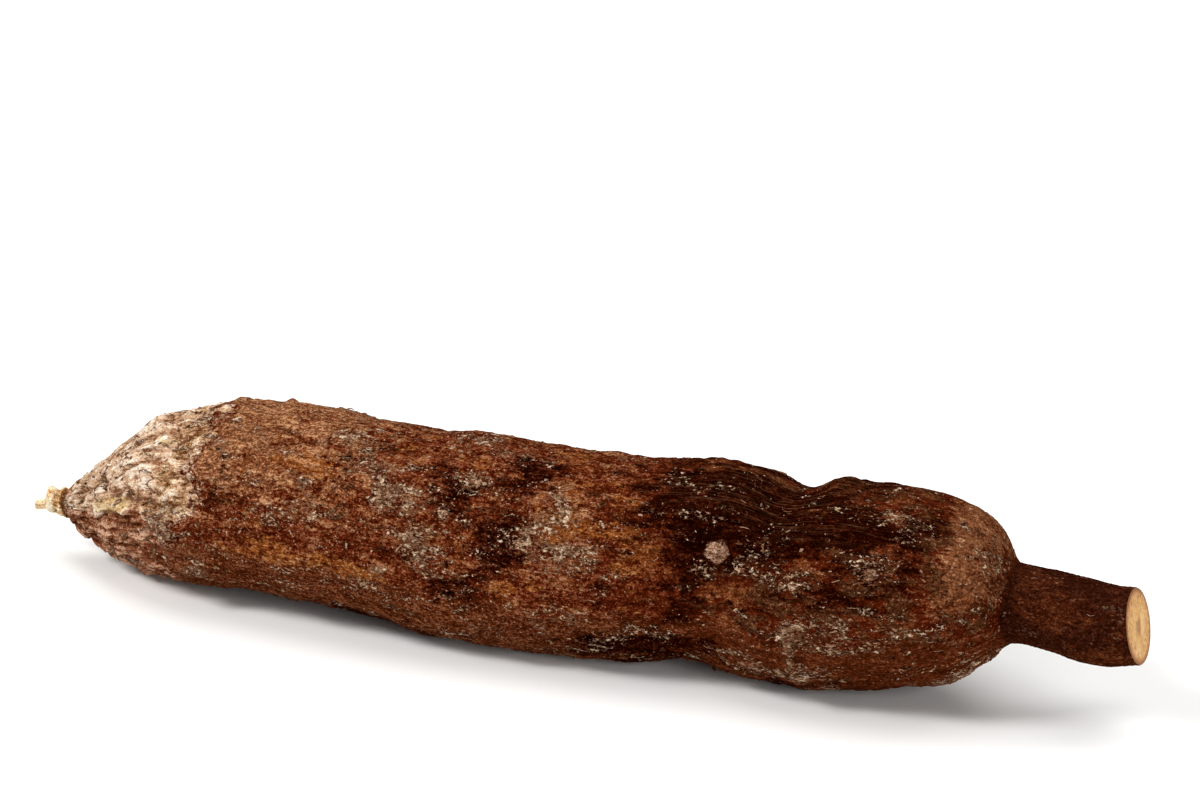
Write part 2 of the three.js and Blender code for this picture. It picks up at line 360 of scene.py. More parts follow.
def far_side(count, half_lengths, half_widths, low, high):
    """Random patches of the same kind on the side away from -Y and underneath."""
    return [
        (rng.uniform(-112, 112), rng.uniform(105, 320), rng.uniform(*half_lengths),
         rng.uniform(*half_widths), rng.uniform(low, high))
        for _ in range(count)
    ]


DARK += far_side(26, (5, 16), (4, 12), 0.6, 1.1)
ORANGE += far_side(18, (7, 20), (5, 12), 0.5, 1.0)
CRUST += far_side(52, (2.5, 9), (2.4, 6), 0.7, 1.1)
print("patches:", len(DARK), "dark,", len(ORANGE), "orange,", len(CRUST), "crusted")

# %% [markdown]
# ## Noise worked out with numpy
#
# Bark looks random but smooth: that is gradient noise. Space is cut into cells, each cell corner gets a
# fixed random direction, and the value between the corners fades from one to the next. Cells that are
# longer along the root give relief that runs along it. The second kind, cell noise, gives the distance
# to scattered seed points, which makes plates with cracks between them, and pits.

# %% Gradient noise and cell noise
DIRECTIONS = rng.normal(size=(256, 3))
DIRECTIONS /= np.linalg.norm(DIRECTIONS, axis=1, keepdims=True)
SEED_POINTS = rng.random((256, 3))


def scramble(cell, seed):
    """A fixed number from 0 to 255 for each cell, mixed from its three whole-number places."""
    mixed = (cell @ np.array([374761393, 668265263, 1442695041]) + seed * 974711) & 0xFFFFFFFF
    mixed = ((mixed ^ (mixed >> 13)) * 1274126177) & 0xFFFFFFFF
    return (mixed ^ (mixed >> 16)) & 255


def gradient_noise(place, size, seed):
    """Smooth noise from about -1 to 1. size is a cell's length, width and height in mm."""
    spot = place / np.array(size)
    low = np.floor(spot).astype(np.int64)
    part = spot - low
    fade = part ** 3 * (part * (part * 6 - 15) + 10)
    total = np.zeros(spot.shape[:-1])
    for corner in np.ndindex(2, 2, 2):
        direction = DIRECTIONS[scramble(low + corner, seed)]
        slope = ((part - corner) * direction).sum(axis=-1)
        total += slope * np.where(corner, fade, 1 - fade).prod(axis=-1)
    return 1.7 * total


def layered_noise(place, size, seed, layers=3, keep=0.55):
    """Noise plus finer and weaker copies of itself, each half the size."""
    sizes, weight, total = np.array(size, float), 1.0, 0
    for layer in range(layers):
        total = total + weight * gradient_noise(place, sizes, seed + 31 * layer)
        sizes, weight = sizes / 2, weight * keep
    return total


def cell_noise(place, size, seed):
    """The distances to the nearest and the second nearest seed point, in cells."""
    spot = place / np.array(size)
    low = np.floor(spot).astype(np.int64)
    first = np.full(spot.shape[:-1], 9.0)
    second = first.copy()
    for offset in np.ndindex(3, 3, 3):
        cell = low + offset - 1
        distance = np.linalg.norm(cell + SEED_POINTS[scramble(cell, seed)] - spot, axis=-1)
        second = np.minimum(second, np.maximum(first, distance))
        first = np.minimum(first, distance)
    return first, second


# %% Where each kind of bark lies, as one number for each vertex
BORDER_BACK = 8  # how much nearer the tail the cone's border lies low down
BORDER_WANDER = 6  # how far it wanders to and fro
BORDER_WANDER_FAR = 5  # and how much more on the far side
BORDER_FADE = (-18, 12)  # where the cone begins to fade, and where it has gone, from the border
wander = layered_noise(tube, (14, 12, 12), 3)
up = np.sin(angle)
far = smoothstep(-np.cos(angle), -0.1, 0.6)
cone_border = CONE_END - BORDER_BACK * (1 - smoothstep(up, -0.1, 0.42))
cone_border = cone_border + (BORDER_WANDER + BORDER_WANDER_FAR * far) * wander
cone = 1 - smoothstep(along, cone_border + BORDER_FADE[0], cone_border + BORDER_FADE[1])
neck = smoothstep(along, LIP - 1, LIP + 3)
ragged = 0.35 * layered_noise(tube, (5, 3, 3), 11)
body = (1 - cone) * (1 - neck)
dark = np.clip(spots(DARK, along, angle, radius) * (1 + ragged), 0, 1.3) * (1 - cone)
orange = np.clip(spots(ORANGE, along, angle, radius) * (1 + ragged), 0, 1.2) * body
crust = np.clip(spots(CRUST, along, angle, radius) * (1 + 2 * ragged), 0, 2.2) * (1 - neck)
flow = bell(along - 62, 40) * smoothstep(up, 0.6, 0.9)
scar = spots(SCARS, along, angle, radius)
cream = spots(CREAM, along, angle, radius)
tip = spots(RUSTY_TIP, along, angle, radius)
# The stem half is darker: partly its own bark, partly painted shade, as if lit less than the tail end.
stem_half_bark_and_shade = smoothstep(along, 0, 45)
for title, amount in (("cone", cone), ("dark", dark), ("crust", crust)):
    print("share of the skin,", title, amount.mean().round(2))

# %% [markdown]
# ## The bark's own relief
#
# The bark is corky skin that cracked as the root swelled. It has long wrinkles, shallow plates with
# cracks between them, small knobs, rough crusts and pits. Dents and lumps in the mesh catch the light and
# show in the outline, which a painted bump can't do. So everything wider than about 2 mm is real shape
# here, and only the finer grain is left to the material.

# %% Work out the fine relief, in mm
bend = 1.6 * np.stack([layered_noise(tube, (12, 8, 8), seed) for seed in (41, 42, 43)], axis=-1)
bent = tube + bend
drawn = even_tube + bend
wrinkles = 1 - 2 * np.abs(gradient_noise(drawn, (19, 4.2, 4.2), 5))
lines = 1 - 2 * np.abs(gradient_noise(drawn, (34, 2.3, 2.3), 6))
knobs = layered_noise(tube, (6.5, 3.6, 3.6), 7)
grain = layered_noise(tube, (2.8, 1.7, 1.7), 8, layers=2)
first, second = cell_noise(bent, (9, 5, 5), 9)
crack = 1 - smoothstep(second - first, 0.0, 0.22)
crack *= smoothstep(gradient_noise(tube, (16, 11, 11), 10), -0.25, 0.35)
pit_distance, _ = cell_noise(bent, (6, 4, 4), 12)
pits = 1 - smoothstep(pit_distance, 0.08, 0.3)
pits *= smoothstep(gradient_noise(tube, (13, 10, 10), 13), 0.1, 0.5)
furrows = 1 - 2.4 * np.abs(layered_noise(drawn, (24, 4.0, 4.0), 14, layers=3))
folds = bell(along - cone_border - 2, 2.6) * smoothstep(gradient_noise(tube, (6, 7, 7), 15), -0.1, 0.4)
hoops = np.cos(2 * np.pi * (along + 0.5 * wander) / 1.5) * neck
flakes_up = np.maximum(layered_noise(bent, (4.4, 2.1, 2.1), 16), 0)
layers_up = layered_noise(bent, (8, 4.5, 4.5), 17)
scar_grain = gradient_noise(tube, (2.6, 1.8, 1.8), 19)

# %% Add them up, each where its kind of bark lies
# Body: wrinkles, knobs and grain, less the cracks and pits
relief = 0.42 * body * wrinkles + 0.28 * knobs * (1 - 0.6 * neck) + 0.1 * grain
relief -= 0.34 * body * crack * (1 - 0.7 * orange) + 0.55 * pits * (1 - neck)
# Cone: furrows, broad layers and knobs, less the cracks
relief += cone * (0.8 * furrows + layers_up + 0.2 * knobs - 0.7 * crack)
# The folds at its border, the crusts, the lifted flakes, the lines over the waist and the neck's hoops
relief += 0.9 * folds * (up > -0.6) + crust * (0.1 + 0.45 * flakes_up)
relief += body * 0.12 * flakes_up * (1 - orange) + 0.24 * flow * lines + 0.05 * hoops
relief -= 0.25 * dark
# Scars: a low flat button with a rough top and a crease at one side
scar_button = 0.8 * smoothstep(scar, 0.25, 0.55)
scar_top = scar * (0.6 * scar_grain - 0.5)
relief += scar_button + scar_top - 0.9 * spots(SCAR_CREASE, along, angle, radius)
# Tail: calmer bark, fine fibres that wind round it and one deep turn across the knot
FIBRES = 14
tail = 1 - smoothstep(along, CONE_START - 0.5, CONE_START + 6)
twist = tail * bell(along - TAIL_KNOT - 2.2 * np.sin(angle + 0.6), 0.8)
fibre_wave = np.cos(FIBRES * (angle + KNOT_TWIST * along))
fibre_room = smoothstep(radius, 1.2, 2.6)
relief *= 1 - 0.75 * tail
relief += 0.22 * tail * fibre_wave * fibre_room - 0.9 * twist
# The cut face has no bark, only the marks of the saw along the root
saw = 0.12 * gradient_noise(np.stack([along, side, height], axis=-1) + tube, (4, 1.0, 3.0), 18)
relief *= np.where(share < 1, 0, 1)
print("fine relief, mm: from", relief.min().round(2), "to", relief.max().round(2))

# %% [markdown]
# ## Making the skin
#
# The rows of points become a closed mesh: four-sided faces between neighbouring rows, and a fan of
# triangles round one middle point at each end. The skin's own flat map, OFBake, unrolls the root into
# one strip, with the cut face laid beside it as a disc, so that a baked picture has no stretched parts.


# %% A closed grid of rows
def closed_grid(name, grid, first_tip, last_tip):
    """A mesh of rows of points that closes round each row, and is capped by a fan to a tip at both ends.
    Returns the object and, for each face corner, its row and its side before the side wraps round."""
    count, sides = grid.shape[:2]
    row = np.arange(count - 1)[:, None]
    turn = np.arange(sides)[None, :]
    corners = np.stack(np.broadcast_arrays(
        row * sides + turn, row * sides + (turn + 1) % sides,
        (row + 1) * sides + (turn + 1) % sides, (row + 1) * sides + turn), axis=-1).reshape(-1, 4)
    quad_rows = np.stack(np.broadcast_arrays(row, row, row + 1, row + 1 + 0 * turn), axis=-1).reshape(-1)
    quad_turns = np.stack(np.broadcast_arrays(turn + 0 * row, turn + 1, turn + 1, turn), axis=-1).reshape(-1)
    tips = count * sides + np.arange(2)
    around = np.arange(sides)
    after = (around + 1) % sides
    start_fan = np.stack([np.full(sides, tips[0]), after, around], axis=-1)
    end_base = (count - 1) * sides
    end_fan = np.stack([end_base + around, end_base + after, np.full(sides, tips[1])], axis=-1)
    points = np.concatenate([grid.reshape(-1, 3), [first_tip, last_tip]])
    mesh = bpy.data.meshes.new(name)
    mesh.vertices.add(len(points))
    mesh.vertices.foreach_set("co", (points * MM).astype(np.float32).ravel())
    loops = np.concatenate([corners.ravel(), start_fan.ravel(), end_fan.ravel()])
    sizes = np.concatenate([np.full(len(corners), 4), np.full(2 * sides, 3)])
    mesh.loops.add(len(loops))
    mesh.loops.foreach_set("vertex_index", loops.astype(np.int32))
    mesh.polygons.add(len(sizes))
    mesh.polygons.foreach_set("loop_start", np.concatenate([[0], np.cumsum(sizes)[:-1]]).astype(np.int32))
    mesh.update(calc_edges=True)
    mesh.validate()
    mesh.shade_smooth()
    piece = bpy.data.objects.new(name, mesh)
    bpy.context.scene.collection.objects.link(piece)
    fan_rows = np.concatenate([np.tile([-1, 0, 0], sides), np.tile([count - 1, count - 1, count], sides)])
    start_turns = np.stack([around + 0.5, around + 1, around], axis=-1).ravel()
    end_turns = np.stack([around, around + 1, around + 0.5], axis=-1).ravel()
    loop_rows = np.concatenate([quad_rows, fan_rows])
    loop_turns = np.concatenate([quad_turns, start_turns, end_turns])
    return piece, loop_rows, loop_turns


# %% Work out the skin and bring it to its place in the frame
points = skin_points(along, angle, share, past, relief)
points[..., 0] += np.where(share < BARK_SHARE + 0.01, saw, 0) * (along > 0)
first_tip = skin_points(np.array([TAIL_END]), np.array([0.0]), 0, -0.4, 0)[0]
last_tip = skin_points(np.array([CUT]), np.array([0.0]), 0, 0.42, 0)[0]
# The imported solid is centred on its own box, so the same forms at the same places are moved the same way.
plain = skin_points(along, angle, share, past, 0 * relief)
centre = (plain.reshape(-1, 3).min(0) + plain.reshape(-1, 3).max(0)) / 2
frame_x, frame_y = ((cad_low[k] + cad_high[k]) / 2 / MM for k in range(2))
to_frame = np.array([frame_x - centre[0], frame_y - centre[1], 0])
points, first_tip, last_tip = points + to_frame, first_tip + to_frame, last_tip + to_frame
print("moved by, mm:", to_frame.round(2), "plain size, mm:", np.ptp(plain.reshape(-1, 3), axis=0).round(2))

skin, loop_rows, loop_turns = closed_grid("bark_skin", points, first_tip, last_tip)
loop_start, loop_total = (np.empty(len(skin.data.polygons), np.int32) for _ in range(2))
skin.data.polygons.foreach_get("loop_start", loop_start)
skin.data.polygons.foreach_get("loop_total", loop_total)
print(len(skin.data.vertices), "vertices,", int((loop_total - 2).sum()), "triangles")

# %% Unroll the skin: OFBake
steps = np.linalg.norm(np.diff(points.mean(axis=1), axis=0), axis=1)
slant = np.abs(np.diff(points - points.mean(axis=1, keepdims=True), axis=0)).mean(axis=(1, 2))
travel = np.concatenate([[0], np.cumsum(np.hypot(steps, slant) + 0.02)])
travel = np.concatenate([travel, [travel[-1] + 1, -1]]) / (travel[-1] + 1)
STRIP = 0.925  # the strip's share of the map's height
EDGE = 0.003  # a bare edge round the strip
DISC_U, DISC_V, DISC_RADIUS = 0.965, 0.963, 0.03
first_cut_row = len(rows) - len(CUT_FACE)
cut_face = np.minimum.reduceat(loop_rows, loop_start) >= first_cut_row
cut_loop = np.repeat(cut_face, loop_total)
u = EDGE + (1 - 2 * EDGE) * travel[loop_rows]
v = EDGE + (STRIP - 2 * EDGE) * loop_turns / SIDES
shares = np.concatenate([rows[:, 1], [0, 0]])
turned = 2 * np.pi * loop_turns / SIDES
u = np.where(cut_loop, DISC_U + DISC_RADIUS * shares[loop_rows] * np.cos(turned), u)
v = np.where(cut_loop, DISC_V + DISC_RADIUS * shares[loop_rows] * np.sin(turned), v)
uv = skin.data.uv_layers.new(name="OFBake")
uv.data.foreach_set("uv", np.stack([u, v], axis=-1).astype(np.float32).ravel())
print("cut face corners:", int(cut_loop.sum()))

# %% Give each vertex the numbers that the materials read
def attribute(piece, name, values, kind="FLOAT"):
    """Stores one number (or three) for each vertex under a name that a material can read."""
    layer = piece.data.attributes.new(name, kind, "POINT")
    layer.data.foreach_set("value" if kind == "FLOAT" else "vector", np.asarray(values, np.float32).ravel())


def with_tips(values):
    """One number for each vertex: the grid's, then those of the two tips."""
    return np.concatenate([values.ravel(), [values[0].mean(), values[-1].mean()]])


# %% The last patches, and all of them onto the skin
spiral = fibre_wave * fibre_room
low = 1 - smoothstep(up + 0.12 * wander, -0.5 + 0.35 * cone, 0.05 + 0.3 * cone)
crease = bell(along - CONE_START + 0.4, 0.7) + 0.15 * twist
crease += 0.12 * (1 - smoothstep(along, TAIL_KNOT - 4.5, TAIL_KNOT - 2.5))
# The shoulder is tan bark: on top behind the cone, beside its border, over the lip and along the middle.
# On top it is partly painted light, lighter where the light from the upper left falls.
shoulder = smoothstep(up, -0.2, 0.75) * (1 - smoothstep(along, -88, -52))
shoulder += 0.7 * bell(along - cone_border - 8, 9) * smoothstep(up, 0.1, 0.6)
shoulder += 1.3 * bell(along - 112, 9) * smoothstep(up, -0.3, 0.5)
shoulder += 0.55 * smoothstep(up, -0.4, 0.3) * smoothstep(along, -90, -60) * (1 - stem_half_bark_and_shade)
shoulder *= body
patches = {
    "cone": cone, "neck": neck, "dark": dark, "orange": orange, "crust": crust, "flow": flow, "scar": scar,
    "cream": cream, "stem_half_bark_and_shade": stem_half_bark_and_shade, "tip": tip,
    "faded": cone * (0.3 + 0.35 * far + 0.6 * bell(along - cone_border + 6, 9)),
    "low": low, "rise": np.clip(0.5 + 0.5 * relief, 0, 1), "spiral": 0.5 + 0.5 * spiral, "crease": crease,
    "shoulder": shoulder, "tail": 1 - smoothstep(along, CONE_START - 0.6, CONE_START + 0.8),
}
for name, values in patches.items():
    attribute(skin, name, with_tips(values))
attribute(skin, "share", np.concatenate([share.ravel(), [0, 0]]))
drawn_tips = [even_tube[0].mean(0), even_tube[-1].mean(0)]
attribute(skin, "drawn", np.concatenate([even_tube.reshape(-1, 3), drawn_tips]) * MM, kind="FLOAT_VECTOR")
print("numbers on each vertex:", len(patches) + 2)

# %% [markdown]
# ## Colours and nodes
#
# Colours are written as sRGB hex values and turned to the linear values that a render works with. One
# small function adds a node, sets it up and links it. The others join nodes into patterns: a weighted
# sum, colours laid over each other, grains of a given size and cells of a given size.

# %% The helpers
def linear(code):
    """An sRGB hex colour as linear red, green, blue and alpha."""
    parts = [int(code[i:i + 2], 16) / 255 for i in (1, 3, 5)]
    return tuple(c / 12.92 if c <= 0.04045 else ((c + 0.055) / 1.055) ** 2.4 for c in parts) + (1,)


def add(tree, kind, inputs, output=0, stops=(), **settings):
    """Adds a node of that kind, sets its properties, fills its inputs, and returns one output. An input is
    named or numbered; a socket is linked to it, and anything else is typed in. stops are the places and
    colours of a colour ramp."""
    node = tree.nodes.new("ShaderNode" + kind)
    for name, value in settings.items():
        setattr(node, name, value)
    for name, value in inputs.items():
        if isinstance(value, bpy.types.NodeSocket):
            tree.links.new(value, node.inputs[name])
        else:
            node.inputs[name].default_value = value
    for number, (place, code) in enumerate(stops):
        elements = node.color_ramp.elements
        element = elements[number] if number < 2 else elements.new(place)
        element.position, element.color = place, linear(code)
    return node.outputs[output]


def summed(tree, total, parts):
    """The total so far, plus each part times its weight."""
    for part, weight in parts:
        total = add(tree, "Math", {0: part, 1: weight, 2: total}, operation="MULTIPLY_ADD")
    return total


def laid_over(tree, colour, layers):
    """A colour with other colours laid over it in turn, each by its amount from 0 to 1."""
    for amount, over in layers:
        colour = add(tree, "Mix", {0: amount, 6: colour, 7: over}, output=2, data_type="RGBA")
    return colour


def new_material(name):
    """An empty material with its Principled shader."""
    material = bpy.data.materials.new(name)
    material.use_nodes = True
    return material, material.node_tree, material.node_tree.nodes["Principled BSDF"]


def grained(tree, place, length, width, detail, roughness, offset, curl=0.3):
    """Noise whose grains are that many mm long and wide, at a place in metres."""
    size = (1 / (length * MM), 1 / (width * MM), 1 / (width * MM))
    start = (offset, 2.3 * offset, 1.7 * offset)
    spot = add(tree, "Mapping", {"Vector": place, "Location": start, "Scale": size})
    kind = {"Detail": detail, "Roughness": roughness, "Distortion": curl, "Scale": 1.0}
    return add(tree, "TexNoise", {"Vector": spot, **kind})


def celled(tree, place, length, width, offset, output, **settings):
    """Cells of that many mm with ragged borders: a random number for each, or the distance to its edge."""
    wobble = grained(tree, place, 0.8 * length, 0.8 * width, 3.0, 0.6, offset + 4.4)
    size = (1 / (length * MM), 1 / (width * MM), 1 / (width * MM))
    start = (offset, 1.3 * offset, 2.7 * offset)
    spot = add(tree, "Mapping", {"Vector": place, "Location": start, "Scale": size})
    moved = add(tree, "VectorMath", {0: wobble, 1: (1.5, 1.5, 1.5), 2: spot}, operation="MULTIPLY_ADD")
    return add(tree, "TexVoronoi", {"Vector": moved, "Scale": 1.0}, output=output, **settings)


# %% [markdown]
# ## Cork bark
#
# The skin of the root is cork: many thin dead cell layers, matt and porous, stained by the soil. Its
# outer layers crack into scales and crumbs. Where they have lifted they are dry and pale, the layers
# under them are red-brown, and soil and tannin make the hollows nearly black. A picture of bark wrapped
# round the root would stretch and repeat, so the pattern is made of noise with grains of real size. One
# weighted sum of the grains is the height that the bump reads. Another is the tone, which picks a colour
# from a palette that runs from the deepest hollow to the highest flake. Each kind of bark has a palette of
# its own, and the patches stored on the skin say which kind lies where.

# %% Palettes, from the deepest hollow to the highest flake
STEPS = np.array([-1.9, -1.0, -0.3, 0.4, 1.1, 1.8])
LEVELS = 0.5 + 0.036 * STEPS
CRUST_LEVELS = 0.51 + 0.08 * STEPS
PALETTES = {
    "orange": "#53250c #6c3512 #7c411a #894c20 #965a2c #ae7a4f",
    "red": "#2b0a01 #3a1003 #471606 #541f0c #652e15 #7f472d",
    "dark": "#0f0200 #160200 #210601 #2b0b03 #3a1507 #512515",
    "rust": "#441b09 #592a12 #6b361b #794324 #885637 #a17153",
    "tan": "#502a17 #673a22 #76472c #835134 #956441 #bb8a63",
    "russet": "#2f1002 #421803 #50220f #5d2b15 #6f3b21 #845438",
    "faded": "#522a10 #7e4f2d #a37a53 #b78c64 #cda681 #eed5b7",
    "umber": "#2a1207 #381a0c #452312 #513019 #633e27 #80604a",
    "tip": "#7c3a12 #9c5220 #b46a32 #c47c42 #d29058 #e2b080",
    "cone": "#83553c #b08562 #cda585 #d9b393 #e8c8a9 #ffefdd",
    "stained": "#451c0d #64301a #7a452b #8b543a #a36f51 #d6ab8d",
    "neck": "#1d0601 #250d03 #2c1009 #35150b #3d1f11 #503024",
    "warm": "#280c03 #351308 #411c0b #4a2310 #58301a #6b432b",
    "cream": "#a2794e #c29a68 #d0ab7a #dab98a #e6c99e #f2dcb8",
    "knot": "#6b4020 #a27044 #d5a36e #ecc38e #f6dfb2 #fbf0d6",
    "scar": "#32180c #5c3a26 #7e5a44 #96705a #b08d76 #d6baa2",
}
CRUST_PALETTE = "#371d0e #583a25 #7a5b43 #997a5f #b6977c #d6c0a6"
CONE_KINDS = ("cone", "faded", "stained", "cream", "tip", "knot")
print("palettes:", len(PALETTES) + 1)

# %% The numbers stored on the skin, and the grains of the cork
bark, tree, bark_shader = new_material("cork bark of a storage root")
stored = {name: add(tree, "Attribute", {}, output="Fac", attribute_name=name) for name in patches}
here = add(tree, "TexCoord", {}, output="Object")
drawn_here = add(tree, "Attribute", {}, output="Vector", attribute_name="drawn")
scales = grained(tree, here, 5.2, 2.5, 4.0, 0.6, 3.1)
crumbs = grained(tree, here, 1.35, 0.9, 3.0, 0.62, 7.7)
grit = grained(tree, here, 0.58, 0.44, 2.0, 0.6, 21.4)
streaks = grained(tree, drawn_here, 13, 1.1, 4.0, 0.6, 1.9)
hoop_grain = grained(tree, here, 0.7, 7.0, 3.0, 0.6, 5.3)
blotches = grained(tree, here, 17, 9, 5.0, 0.62, 9.4)
mottle = grained(tree, here, 9, 5, 5.0, 0.66, 30.2)
edges = grained(tree, here, 4.0, 2.2, 4.0, 0.7, 12.6)
clusters = grained(tree, here, 11, 4.5, 3.0, 0.6, 17.3)
squiggles = grained(tree, here, 3.6, 1.5, 2.0, 0.55, 25.1, curl=1.1)
flakes = celled(tree, here, 1.9, 0.95, 2.8, "Color")
edge_distance = celled(tree, here, 9.0, 4.0, 8.8, "Distance", feature="DISTANCE_TO_EDGE")

# %% How much of each kind lies at a point: its patch, made ragged by the edges and joined by blotches
crust_parts = ((stored["crust"], 0.25), (clusters, 1.2), (crumbs, 1.0), (edges, 1.0))
scar_parts = ((stored["scar"], 1.0), (edges, 1.6))
speck_parts = ((stored["crust"], 0.06), (stored["stem_half_bark_and_shade"], -0.035), (clusters, 0.5), (crumbs, 0.6), (grit, 1.0))
reach = {}
for name, parts, low_end, high_end in (
        ("orange", ((stored["orange"], 0.8), (blotches, 3.0), (edges, 2.0), (mottle, 1.0)), 3.36, 3.56),
        ("rust", ((stored["stem_half_bark_and_shade"], -0.5), (mottle, 3.0), (edges, 1.5)), 2.33, 2.5),
        ("tan", ((stored["shoulder"], 0.7), (mottle, -2.2), (edges, 2.0)), 0.42, 0.62),
        ("dark", ((stored["dark"], 0.8), (blotches, -2.0), (edges, 2.0), (mottle, -1.5)), -0.45, 0.05),
        ("cone", ((stored["cone"], 3.0), (edges, 3.0), (mottle, 3.2)), 4.45, 4.95),
        ("cream", ((stored["cream"], 1.0), (edges, 1.4)), 1.2, 1.3),
        ("tip", ((stored["tip"], 1.0), (edges, 1.4)), 1.1, 1.5),
        ("faded", ((stored["faded"], 1.0), (edges, 1.5), (mottle, 1.5)), 1.9, 2.2),
        ("umber", ((stored["stem_half_bark_and_shade"], 1.0), (edges, 1.0), (mottle, 2.0)), 2.4, 2.6),
        ("low", ((stored["low"], 1.0), (blotches, 0.7), (edges, 1.0)), 1.25, 1.45),
        ("warm", ((blotches, 2.0), (edges, 1.0)), 1.45, 1.7),
        ("ring", scar_parts, 0.95, 1.1),
        ("scar", scar_parts, 1.2, 1.4),
        ("crack", ((edge_distance, -1.0), (edges, 0.35), (clusters, 0.6)), 0.45, 0.48),
        ("crust", crust_parts, 1.87, 1.92),
        # halo: the painted shadow round each crust
        ("halo", crust_parts, 1.77, 1.87),
        ("rims", ((stored["crust"], 0.4), (clusters, 1.0), (edges, 0.6)), 0.9, 0.96),
        ("specks", speck_parts, 1.25, 1.28)):
    inputs = {"Value": summed(tree, 0.0, parts), "From Min": low_end, "From Max": high_end}
    reach[name] = add(tree, "MapRange", inputs, interpolation_type="SMOOTHSTEP")
print("kinds of bark by reach:", len(reach))

# %% The pale cork, where it lies: crusts, curled rims and specks, but hardly any on the neck
# A thin dark rim round each crust is painted shadow, the shade beside the raised cork.
crust_shadow_share = add(tree, "Math", {0: reach["halo"], 1: 0.55}, operation="MULTIPLY")
on_rim = add(tree, "Math", {0: squiggles, 1: 0.5, 2: 0.014}, operation="COMPARE")
curled_rims = add(tree, "Math", {0: on_rim, 1: reach["rims"]}, operation="MULTIPLY")
crust_share = reach["crust"]
for part in (curled_rims, reach["specks"]):
    crust_share = add(tree, "Math", {0: crust_share, 1: part}, operation="MAXIMUM")
not_neck = summed(tree, 1.0, [(stored["neck"], -0.9)])
crust_share = add(tree, "Math", {0: crust_share, 1: not_neck}, operation="MULTIPLY")
crack_share = add(tree, "Math", {0: reach["crack"], 1: stored["cone"]}, operation="MULTIPLY")

# %% One height in mm for each kind of bark
cork_parts = ((scales, 1.4), (crumbs, 0.9), (grit, 0.22), (streaks, 0.5))
cone_parts = ((scales, 3.8), (crumbs, 0.9), (grit, 0.15), (streaks, 1.1), (crack_share, -0.4))
neck_parts = ((hoop_grain, 0.25), (crumbs, 0.2), (scales, 0.3), (grit, 0.12))
knot_parts = ((stored["spiral"], 0.3), (crumbs, 0.8), (scales, 0.6))
bark_height = summed(tree, 0.0, cork_parts)
for amount, parts in (("cone", cone_parts), ("neck", neck_parts), ("tail", knot_parts)):
    inputs = {0: stored[amount], 2: bark_height, 3: summed(tree, 0.0, parts)}
    bark_height = add(tree, "Mix", inputs, data_type="FLOAT")
bark_height = summed(tree, bark_height, [(crust_share, 0.3)])

# %% Light and dark inside each kind: fine grain and lengthwise streaks, and a little of the real relief
# Part of the tone follows the real relief, lighter on high bark and darker in hollows: partly pale cork and
# soil, partly painted shade.
body_tone = summed(tree, -0.005, (
    # The stem half is a little darker here, partly painted shade.
    (stored["rise"], 0.08), (stored["stem_half_bark_and_shade"], -0.019), (crumbs, 0.35), (grit, 0.32), (streaks, 0.15),
    (scales, 0.11)))
cone_tone = summed(tree, 0.03, (
    (stored["rise"], 0.12), (stored["crease"], -0.13), (stored["tail"], 0.05), (crumbs, 0.24), (grit, 0.22),
    (streaks, 0.22), (scales, 0.14)))
crust_tone = summed(tree, -0.04, ((crumbs, 0.5), (grit, 0.4), (flakes, 0.2), (stored["cone"], 0.14)))
# The body's light and dark stand further apart on the tail's side than on the stem's
contrast = add(tree, "MapRange", {"Value": stored["stem_half_bark_and_shade"], "To Min": 1.15, "To Max": 0.82})
from_middle = add(tree, "Math", {0: body_tone, 1: 0.5}, operation="SUBTRACT")
shown = add(tree, "Math", {0: from_middle, 1: contrast, 2: 0.5}, operation="MULTIPLY_ADD")
kinds = {}
for name, colours in PALETTES.items():
    tone = cone_tone if name in CONE_KINDS else shown
    kinds[name] = add(tree, "ValToRGB", {"Fac": tone}, stops=list(zip(LEVELS, colours.split())))
crust_stops = list(zip(CRUST_LEVELS, CRUST_PALETTE.split()))
kinds["crust"] = add(tree, "ValToRGB", {"Fac": crust_tone}, stops=crust_stops)

# %% Thin lines: pale ones that flow over the waist, and dark cracks in the worn patches
thin_lines = grained(tree, drawn_here, 44, 1.0, 2.0, 0.5, 15.2)
on_line = add(tree, "Math", {0: thin_lines, 1: 0.5, 2: 0.014}, operation="COMPARE")
line_share = add(tree, "Math", {0: on_line, 1: stored["flow"]}, operation="MULTIPLY")
on_crack = add(tree, "Math", {0: streaks, 1: 0.5, 2: 0.016}, operation="COMPARE")
worn = add(tree, "Math", {0: reach["orange"], 1: reach["low"]}, operation="MAXIMUM")
worn_share = add(tree, "Math", {0: on_crack, 1: worn}, operation="MULTIPLY")
dark_line = add(tree, "Math", {0: worn_share, 1: 0.6}, operation="MULTIPLY")
pale_line = add(tree, "Math", {0: line_share, 1: 0.32}, operation="MULTIPLY")

